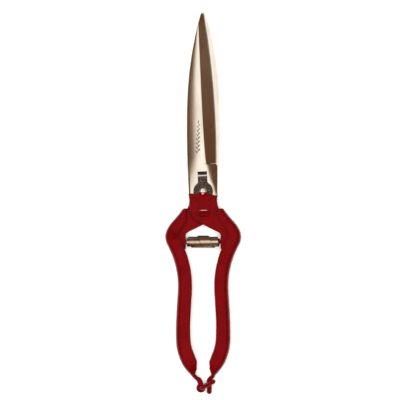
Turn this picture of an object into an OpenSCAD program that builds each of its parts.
// Long-bladed floral snips. Two steel blades cross at a pivot pin, and their tangs sit in
// pressed-steel channel handles that have a dipped vinyl skin. A volute spring pushes the
// handles apart, and a wire loop at their ends holds them shut. Millimetres.
// Each module draws in the pivot frame: the pivot axis is Z, the tips lie along +Y, and the
// blades meet at z = 0. The left half is the right half turned 180 degrees about Y.
// place() then moves everything to the part's frame, whose origin is under the middle.

/* [Blades] */
// Pivot to blade tip
blade_reach = 148; // [140:1:156]
// Half the width of the closed blades at their widest
blade_half_width = 13.6; // [13.2:0.1:14]
// Height above the pivot where the blades are widest
widest_at = 50; // [46:1:54]
// Height above the pivot where the ground bevel starts
bevel_start = 22; // [20:0.5:24]
// Thickness of a blade at its root, and of its tang
plate_t = 3; // [2.8:0.1:3.2]
// Thickness of a blade at its tip
tip_t = 1.5; // [1.2:0.1:1.8]

/* [Pivot] */
// Radius of the pivot pin
pin_r = 2.5; // [2.3:0.1:2.7]
// Radius of the pin's domed head
pin_head_r = 3.2; // [3:0.1:3.4]
// Radius of the lock plate's round part
lock_plate_r = 8.2; // [7.8:0.1:8.6]
// Thickness of the lock plate
lock_plate_t = 1; // [0.8:0.1:1]
// Width of the lock plate's tabs
lock_tab_w = 7.8; // [7.4:0.1:8.2]
// Turn of the lock plate from the blade's middle line
lock_turn = 2.8; // [0:0.1:4]
// Across flats of the pivot nut
nut_flats = 8; // [7.5:0.5:8]

/* [Handles] */
// Half the depth of a grip over its vinyl
grip_half_depth = 5.8; // [5.6:0.1:6.2]
// Thickness of the handle's steel sheet
sheet_t = 1.5; // [1.2:0.1:1.5]
// Thickness of the vinyl skin
skin_t = 0.6; // [0.5:0.05:0.7]
// How far below the pivot the vinyl starts
dip_line = 1.7; // [1:0.1:3]
// Radius of the tang rivets
rivet_r = 1.75; // [1.5:0.05:2]

/* [Spring] */
// Height of the spring's axis below the pivot
spring_drop = 41.7; // [41:0.1:42.5]
// Half the spring's length between its seats
spring_half_len = 13.9; // [13.6:0.1:14]
// Width of the spring's steel strip
strip_w = 9; // [8.6:0.1:9.2]
// Thickness of the spring's steel strip
strip_t = 0.5; // [0.4:0.05:0.5]
// Middle radius of the spring's largest turn
spring_mid_r = 4.9; // [4.7:0.05:4.95]

/* [Catch] */
// Radius of the catch loop's coated wire
loop_wire_r = 1.25; // [1.1:0.05:1.3]
// Length of the loop between the middles of its end bars
loop_len = 12.4; // [12.3:0.1:12.8]
// Slope of the latched loop
loop_slope = 27; // [26:1:28]
// Radius of the peg that the loop holds
peg_r = 1.75; // [1.6:0.05:1.9]

/* [Hidden] */
$fn = 64;

gap = 0.05;            // between parts that turn on each other
slip = 0.02;           // between parts of one half
plate_top = gap + plate_t;
tip_half = 1.6;        // half width of the closed tips
root_half = 11.5;      // half width of the blades at the bottom of their root
root_y = -6;
edge_root = 11;        // cutting edge from the centre line, at the bevel's start
edge_t = 0.3;          // thickness left at the cutting edge
spine_drop = 1.5;      // how far the domed face falls to the spine
ridge_root = 2.6;      // ridge between dome and bevel, at the bevel's start
ridge_lean = 7;        // how far the ridge leans over by the tip
blade_steps = 26;
dome_steps = 6;

peg_end_y = -167;      // lowest point of the closed snips
pivot_y = -(blade_reach + peg_end_y) / 2;
pivot_z = grip_half_depth;

// The outer edge of the right handle, skin included, from its top end to its neck.
handle_edge = [[16.5, -14.1], [21.6, -20.7], [27.4, -27.4], [30.9, -34], [31, -40.5], [28, -47.1],
               [24.5, -55.4], [21.6, -67], [20.8, -79], [21.7, -95], [22.5, -113], [21.9, -128.5],
               [18.3, -140.3], [13.8, -147.3], [10.6, -151], [9, -152.7]];
edge_steps = 3;        // stations per stretch of handle_edge
// Width, depth, offset and skew of the handle, each by height y.
handle_w = [[-152.7, 3.6], [-151.8, 5.8], [-150.5, 8], [-149, 9.7], [-147, 11.1], [-144.5, 12],
            [-140.3, 12.3], [-133, 12.2], [-110, 11.7], [-55, 11.6], [-45, 11], [-36, 10.5],
            [-22, 8.8], [-17.4, 7.9], [-15, 5.7], [-14.1, 4.3]];
tang_z = gap + plate_t / 2;
clamp_half_depth = plate_t / 2 + slip + sheet_t + skin_t;  // where the handle grips the tang
handle_half_depth = [[-152.7, 2.6], [-151.8, 3.7], [-150.5, 4.5], [-149, 5], [-146.5, 5.5],
                     [-142, grip_half_depth], [-52, grip_half_depth], [-30, clamp_half_depth]];
handle_z = [[-50, 0], [-30, tang_z]];
handle_skew = [[-18, 0], [-14.1, 38]];
corner_r = 3.4;        // outside corner of the channel over its skin
corner_steps = 5;

// The tang's free edges, outside the channel: from the root down its left side to the crossing,
// along the spring seat, and into the channel; then the short edge above the channel.
tang_inner_edge = [[-10.9, -6], [-10.5, -13.5], [-9.2, -20], [-7, -22.6], [0.2, -26.9],
                   [12.9, -33.2], [14.4, -34.2], [14.9, -35.6], [14.9, -46.5], [16.2, -50], [16.8, -56]];
tang_upper_edge = [[12.6, -14.5], [11.7, -12.7], [11.2, -10.5], [10.8, -8], [10.9, -4], [11.2, 0]];
tang_inset = skin_t + sheet_t + 0.4;   // from the handle's outer edge to the tang
tang_end_u = 6.2;                      // where the tang ends along handle_edge
rivet_inset = 4.65;                    // from the handle's outer edge to a rivet's axis
rivet_us = [0.8, 1.6];                 // where the rivets lie along handle_edge

slot_top = 16.2;       // upper end of the lock plate's upper slot
tab_bend = 12.1;       // start of the upper tab
low_tab_bend = -15.8;
low_slot_end = -20.5;
lug_r = 1.3;           // spring lug on the tang's edge
lug_len = 3.4;
seat_x = 14.9;         // the tang edge that the spring pushes on
spring_turns = 2;      // on each side of the middle
spring_taper = 0.9;    // how much the radius shrinks in each turn
turn_steps = 24;

eye_at = [-1.9, -162.2];
eye_r = 3.4;
eye_half_w = 1.9;
loop_half_w = 3.9;
loop_corner_r = 1.7;
neck_half_depth = 1.3;
// Middle lines of the two tails below the handles, drawn for a right handle, and half widths.
peg_tail = [[8.4, -151.8], [6.1, -153.6], [5.1, -156.4]];
peg_tail_half_w = [1.5, 1.3, 1.7];
eye_tail = [[7.4, -152], [5.3, -153.7], [3.5, -155.2], [2.4, -157.6], [2, -160]];
eye_tail_half_w = [1.5, 1.2, 1.4, 1.5, 1.6];
peg_x = 5.1;
peg_top_y = -156.8;

// ---- Functions ----

function unit(v) = v / norm(v);
function turned(v, a) = [v.x * cos(a) - v.y * sin(a), v.x * sin(a) + v.y * cos(a)];
function reversed(list) = [for (i = [len(list) - 1:-1:0]) list[i]];
function arc(centre, r, from, to, steps) =
    [for (i = [0:steps]) let (a = from + (to - from) * i / steps) centre + r * [cos(a), sin(a)]];

// A point on the smooth curve through points p; u counts the points.
function spline(p, u) =
    let (last = len(p) - 1, i = min(floor(u), last - 1), t = u - i, b = p[i], c = p[i + 1],
         a = i > 0 ? p[i - 1] : 2 * b - c, d = i + 2 <= last ? p[i + 2] : 2 * c - b)
    (2 * b + (c - a) * t + (2 * a - 5 * b + 4 * c - d) * pow(t, 2)
        + (3 * b - a - 3 * c + d) * pow(t, 3)) / 2;

// Point and inward direction on the handle's outer edge.
function edge_point(u) = spline(handle_edge, u);
function edge_inward(u) =
    let (last = len(handle_edge) - 1,
         along = unit(edge_point(min(u + 0.02, last)) - edge_point(max(u - 0.02, 0))))
    turned([along.y, -along.x], -lookup(edge_point(u).y, handle_skew));
function inset_point(u, depth) = edge_point(u) + depth * edge_inward(u);
function rivet_spots() = [for (u = rivet_us) inset_point(u, rivet_inset)];

// Half width of the closed blades at height y.
function blade_half(y) =
    y > widest_at
    ? blade_half_width - (blade_half_width - tip_half) * pow((y - widest_at) / (blade_reach - widest_at), 2.5)
    : blade_half_width - (blade_half_width - root_half) * pow((widest_at - y) / (widest_at - root_y), 1.8);

function along_bevel(y) = (y - bevel_start) / (blade_reach - bevel_start);
function edge_x(y) = edge_root - (edge_root - 0.3) * pow(max(along_bevel(y), 0), 2.1);
function ridge_x(y) =
    max(ridge_root - ridge_lean * pow(max(along_bevel(y), 0), 0.68), 0.3 - blade_half(y));
function ridge_t(y) = plate_t - slip - (plate_t - tip_t) * max(along_bevel(y), 0);

// Section of the ground blade at height y: flat back, bevel to the right, dome to the left.
function blade_section(y) =
    let (spine = slip - blade_half(y), ridge = ridge_x(y), top = ridge_t(y),
         fall = spine_drop * (ridge - spine) / (ridge_root + blade_half_width))
    concat([[spine, y, gap], [edge_x(y), y, gap], [edge_x(y), y, gap + edge_t]],
           [for (i = [0:dome_steps]) let (s = i / dome_steps)
               [ridge + (spine - ridge) * s, y, gap + top - fall * pow(s, 2)]]);

// Each point of a closed outline moved out by d; the outline runs counter-clockwise.
function grown(p, d) =
    [for (i = [0:len(p) - 1])
        let (a = unit(p[i] - p[(i + len(p) - 1) % len(p)]), b = unit(p[(i + 1) % len(p)] - p[i]),
             out = unit([a.y + b.y, -a.x - b.x]))
        p[i] + d / max(0.5, out * [a.y, -a.x]) * out];

// Sheet thickness where the handle is w wide and h deep to each side.
function sheet_at(w, h) = min(sheet_t, 0.45 * (w - 2 * skin_t), 0.5 * (h - skin_t));

// U section of the handle's sheet, in distance from the outer edge and height.
function channel_section(w, h) =
    let (hs = h - skin_t, ws = w - skin_t, t = sheet_at(w, h),
         r = min(corner_r, 0.45 * w, 0.8 * h) - skin_t, ri = max(r - t, 0.2), d0 = skin_t, d1 = skin_t + t)
    concat([[ws, hs]], arc([d0 + r, hs - r], r, 90, 180, corner_steps),
           arc([d0 + r, r - hs], r, 180, 270, corner_steps), [[ws, -hs], [ws, t - hs]],
           arc([d1 + ri, ri + t - hs], ri, 270, 180, corner_steps),
           arc([d1 + ri, hs - t - ri], ri, 180, 90, corner_steps), [[ws, hs - t]]);

// C section of the vinyl round that sheet and over its two free edges.
function grip_section(w, h) =
    let (hs = h - skin_t, t = sheet_at(w, h), r = min(corner_r, 0.45 * w, 0.8 * h),
         ri = r - skin_t + slip, d0 = skin_t - slip, hi = hs + slip, wi = w - skin_t + slip)
    concat([[w, hs - t], [w, h]], arc([r, h - r], r, 90, 180, corner_steps),
           arc([r, r - h], r, 180, 270, corner_steps), [[w, -h], [w, t - hs], [wi, t - hs], [wi, -hi]],
           arc([d0 + ri, ri - hi], ri, 270, 180, corner_steps),
           arc([d0 + ri, hi - ri], ri, 180, 90, corner_steps), [[wi, hi], [wi, hs - t]]);

// A section's points at place u along the handle.
function handle_ring(section, u) =
    let (p = edge_point(u), inward = edge_inward(u), z = lookup(p.y, handle_z))
    [for (q = section) [p.x + q.x * inward.x, p.y + q.x * inward.y, z + q.y]];

// The spring's middle turn advances by more than the strip's width, so that no turn meets the
// next one before it has shrunk by more than the strip's thickness.
function spring_r(n) = spring_mid_r - spring_taper * abs(n);
function spring_x(n) =
    let (open_pitch = strip_w + 0.2, mid_turns = 0.82,
         end_pitch = (spring_half_len - strip_w / 2 - open_pitch * mid_turns) / (spring_turns - mid_turns))
    sign(n) * (open_pitch * min(abs(n), mid_turns) + end_pitch * max(abs(n) - mid_turns, 0));

// ---- Shared modules ----

module place() translate([0, pivot_y, pivot_z]) children();
module left_half() rotate([0, 180, 0]) children();

// A closed skin through rings of the same even number of points, which run counter-clockwise
// seen from before the first ring. Each end is closed by strips that join its two halves.
module loft(rings) {
    n = len(rings[0]);
    last = len(rings) - 1;
    polyhedron(
        points = [for (ring = rings) for (q = ring) q],
        faces = concat(
            [for (k = [0:n / 2 - 2]) [n - 1 - k, n - 2 - k, k + 1, k]],
            [for (i = [0:last - 1]) for (k = [0:n - 1])
                let (m = (k + 1) % n) [i * n + k, i * n + m, (i + 1) * n + m, (i + 1) * n + k]],
            [for (k = [0:n / 2 - 2]) [for (m = [k, k + 1, n - 2 - k, n - 1 - k]) last * n + m]]));
}

module slab(z0, z1) translate([0, 0, z0]) linear_extrude(z1 - z0) children();

// Flat strip along a handle's tail, from a start inside the handle, with some room round it.
module tail_strip(points, half_w, room = 0) {
    p = concat([neck_start], points);
    w = [for (half = concat([half_w[0]], half_w)) half + room];
    last = len(p) - 1;
    side = [for (i = [0:last]) let (along = unit(p[min(i + 1, last)] - p[max(i - 1, 0)]))
        w[i] * [-along.y, along.x]];
    slab(-neck_half_depth - room, neck_half_depth + room)
        polygon(concat([for (i = [0:last]) p[i] + side[i]],
                       reversed([for (i = [0:last]) p[i] - side[i]])));
}

// ---- Blades ----

plate_outline = concat(
    [for (i = [0:4]) let (y = bevel_start * (1 - i / 4)) [-blade_half(y), y]],
    tang_inner_edge,
    [for (u = [tang_end_u:-0.4:0.4]) inset_point(u, tang_inset)],
    tang_upper_edge,
    [[11.8, bevel_start]]);

module ground_blade()
    loft([for (i = [0:blade_steps])
        let (y = i == 0 ? bevel_start - 1 : bevel_start + (blade_reach - bevel_start) * i / blade_steps)
        blade_section(y)]);

module blade_and_tang() {
    slab(gap, plate_top) polygon(plate_outline);
    ground_blade();
    translate([seat_x - lug_len, -spring_drop, gap + plate_t / 2])
        rotate([0, 90, 0]) cylinder(h = lug_len + 1, r = lug_r, $fn = 32);
}

module rivet_holes()
    for (spot = rivet_spots())
        translate([spot.x, spot.y, -20]) cylinder(h = 40, r = rivet_r + gap, $fn = 32);

module lock_slots()
    rotate([0, 0, lock_turn])
        for (slot = [[tab_bend - 0.15, slot_top], [low_slot_end, low_tab_bend + 0.15]])
            translate([-lock_tab_w / 2 - 0.15, slot[0], -1])
                cube([lock_tab_w + 0.3, slot[1] - slot[0], plate_t + 3]);

module front_blade()
    color("silver") difference() {
        blade_and_tang();
        translate([0, 0, -1]) cylinder(h = plate_t + 3, r = pin_r + slip);
        rivet_holes();
        lock_slots();
    }

module rear_blade()
    color("gainsboro") left_half() difference() {
        blade_and_tang();
        translate([0, 0, -1]) cylinder(h = plate_t + 3, r = pin_r + 0.06);
        rivet_holes();
    }

// ---- Pivot ----

lock_z = plate_top + slip;             // the lock plate lies on the front blade
head_z = lock_z + lock_plate_t;
head_h = 1.45;
lock_skin_t = 0.5;     // vinyl over the lock plate
rear_washer_t = 0.6;
wave_washer_t = 0.4;
rear_washer_z = -plate_top - gap - rear_washer_t;
wave_washer_z = rear_washer_z - slip - wave_washer_t;
nut_top_z = wave_washer_z - slip;
nut_t = 1.5;

module pivot_pin()
    color("white") {
        dome_r = (pow(pin_head_r, 2) + pow(head_h, 2)) / (2 * head_h);
        translate([0, 0, nut_top_z - nut_t]) cylinder(h = head_z - nut_top_z + nut_t + 0.5, r = pin_r);
        intersection() {
            translate([0, 0, head_z + head_h - dome_r]) sphere(r = dome_r);
            translate([0, 0, head_z]) cylinder(h = head_h + 1, r = pin_head_r);
        }
    }

// The lock plate's round part and its two tabs, with some room round them.
module lock_plate_outline(room = 0)
    rotate([0, 0, lock_turn]) {
        circle(r = lock_plate_r + room);
        translate([-lock_tab_w / 2 - room, low_tab_bend - lock_plate_t - room])
            square([lock_tab_w + 2 * room, tab_bend - low_tab_bend + 2 * (lock_plate_t + room)]);
    }

// Tab washer: one tab is bent down into each slot of the front blade.
module lock_plate()
    color("dimgray") difference() {
        union() {
            slab(lock_z, head_z - slip) lock_plate_outline();
            rotate([0, 0, lock_turn]) for (y = [tab_bend, low_tab_bend - lock_plate_t])
                translate([-lock_tab_w / 2, y, 0.6]) cube([lock_tab_w, lock_plate_t, lock_z]);
        }
        translate([0, 0, lock_z - 1]) cylinder(h = 4, r = pin_r + slip);
    }

module ring(z, t, r) translate([0, 0, z]) difference() {
    cylinder(h = t, r = r);
    translate([0, 0, -1]) cylinder(h = t + 2, r = pin_r + slip);
}

module rear_washer() color("lightgray") ring(rear_washer_z, rear_washer_t, 6);
module wave_washer() color("gray") ring(wave_washer_z, wave_washer_t, 4.7);
module pivot_nut()
    color("silver") difference() {
        translate([0, 0, nut_top_z - nut_t]) cylinder(h = nut_t, r = nut_flats / 2 / cos(30), $fn = 6);
        translate([0, 0, -20]) cylinder(h = 40, r = pin_r + slip);
    }

// ---- Handles ----

edge_last = len(handle_edge) - 1;
stations = [for (i = [0:edge_last * edge_steps]) i / edge_steps];
function w_at(u) = lookup(edge_point(u).y, handle_w);
function h_at(u) = lookup(edge_point(u).y, handle_half_depth);
neck_start = inset_point(edge_last - 1, 2);

module channel()
    difference() {
        loft([for (u = stations) handle_ring(channel_section(w_at(u), h_at(u)), u)]);
        rivet_holes();
    }

module right_handle()
    color("firebrick") {
        channel();
        tail_strip(peg_tail, peg_tail_half_w);
        translate([peg_x, peg_top_y, 0]) rotate([90, 0, 0])
            cylinder(h = peg_top_y - peg_end_y - peg_r, r = peg_r);
        for (y = [peg_top_y, peg_end_y + peg_r])
            translate([peg_x, y, 0]) sphere(r = peg_r * 1.03, $fn = 48);
    }

module left_handle()
    color("firebrick") left_half() {
        channel();
        tail_strip(eye_tail, eye_tail_half_w);
        translate([-eye_at.x, eye_at.y, -eye_half_w]) difference() {
            cylinder(h = 2 * eye_half_w, r = eye_r);
            translate([0, 0, -1]) cylinder(h = 2 * eye_half_w + 2, r = loop_wire_r + 0.2);
        }
    }

module tang_rivets()
    for (spot = rivet_spots())
        translate([spot.x, spot.y, tang_z - plate_t / 2 - sheet_t])
            cylinder(h = plate_t + 2 * sheet_t, r = rivet_r, $fn = 32);

module right_tang_rivets() color("darkgray") tang_rivets();
module left_tang_rivets() color("darkgray") left_half() tang_rivets();

// ---- Vinyl ----

// The handle's outline with a little room round it.
band_top = gap * [edge_inward(0).y, -edge_inward(0).x];
handle_band = concat([inset_point(0, -1) + band_top], [for (u = stations) inset_point(u, -1)],
                     reversed([for (u = stations) inset_point(u, w_at(u) + 0.15)]),
                     [inset_point(0, w_at(0) + 0.15) + band_top]);

// Skin over a tang's outer face and edges, below the dip line and outside the channel.
module tang_skin()
    difference() {
        slab(gap, plate_top + skin_t) polygon(grown(plate_outline, skin_t));
        slab(0, plate_top) polygon(grown(plate_outline, slip / 2));
        slab(-20, 20) polygon(handle_band);
        translate([-50, -dip_line, -20]) cube([100, 300, 40]);
        translate([0, -spring_drop, gap + plate_t / 2])
            rotate([0, 90, 0]) cylinder(h = 30, r = lug_r + slip, $fn = 32);
    }

// Skin over the lower half of the lock plate.
module lock_plate_skin()
    difference() {
        slab(plate_top + skin_t - 0.1, head_z + lock_skin_t) intersection() {
            lock_plate_outline(lock_skin_t);
            translate([-20, -40 - dip_line]) square([40, 40]);
        }
        slab(0, head_z) lock_plate_outline();
        translate([0, 0, -10]) cylinder(h = 30, r = pin_head_r + slip);
    }

module swept_skin(tail, tail_half_w)
    difference() {
        loft([for (u = stations) handle_ring(grip_section(w_at(u), h_at(u)), u)]);
        tail_strip(tail, tail_half_w, slip);
    }

module right_vinyl_grip()
    color("darkred") {
        swept_skin(peg_tail, peg_tail_half_w);
        difference() {
            tang_skin();
            slab(plate_top - 1, head_z + 1) lock_plate_outline(slip);
            lock_slots();
        }
        lock_plate_skin();
    }

module left_vinyl_grip()
    color("darkred") left_half() {
        swept_skin(eye_tail, eye_tail_half_w);
        difference() {
            tang_skin();
            translate([0, 0, plate_top - 1]) cylinder(h = 5, r = 6.4);
        }
    }

// ---- Spring and catch ----

// Double volute: a flat strip wound in overlapping turns that shrink towards both ends.
module volute_spring() {
    tilt = atan2(gap + plate_t / 2, seat_x);
    rings = [for (i = [-spring_turns * turn_steps:spring_turns * turn_steps])
        let (n = i / turn_steps, a = 360 * n, x = spring_x(n), r = spring_r(n))
        [for (c = [[-1, -1], [-1, 1], [1, 1], [1, -1]])
            let (radius = r + c[1] * strip_t / 2) [x + c[0] * strip_w / 2, radius * cos(a), radius * sin(a)]]];
    color("wheat") translate([0, -spring_drop, 0]) rotate([0, -tilt, 0]) loft(rings);
}

// A ring with long sides in front of and behind the peg, drawn with its width along y.
module loop_ring() {
    c = loop_corner_r;
    straight = loop_half_w - c;
    for (side = [-1, 1]) {
        translate([c, side * loop_half_w, 0]) rotate([0, 90, 0])
            cylinder(h = loop_len - 2 * c, r = loop_wire_r, $fn = 32);
        translate([c, side * straight, 0]) rotate([0, 0, side > 0 ? 90 : 180])
            rotate_extrude(angle = 90) translate([c, 0]) circle(r = loop_wire_r, $fn = 32);
        translate([loop_len - c, side * straight, 0]) rotate([0, 0, side > 0 ? 0 : 270])
            rotate_extrude(angle = 90) translate([c, 0]) circle(r = loop_wire_r, $fn = 32);
    }
    for (x = [0, loop_len]) translate([x, -straight, 0]) rotate([-90, 0, 0])
        cylinder(h = 2 * straight, r = loop_wire_r, $fn = 32);
}

module catch_loop()
    color("crimson") translate([eye_at.x, eye_at.y, 0])
        rotate([0, 0, loop_slope]) rotate([90, 0, 0]) loop_ring();

place() front_blade();
place() rear_blade();
place() pivot_pin();
place() lock_plate();
place() rear_washer();
place() wave_washer();
place() pivot_nut();
place() right_handle();
place() left_handle();
place() right_tang_rivets();
place() left_tang_rivets();
place() right_vinyl_grip();
place() left_vinyl_grip();
place() volute_spring();
place() catch_loop();
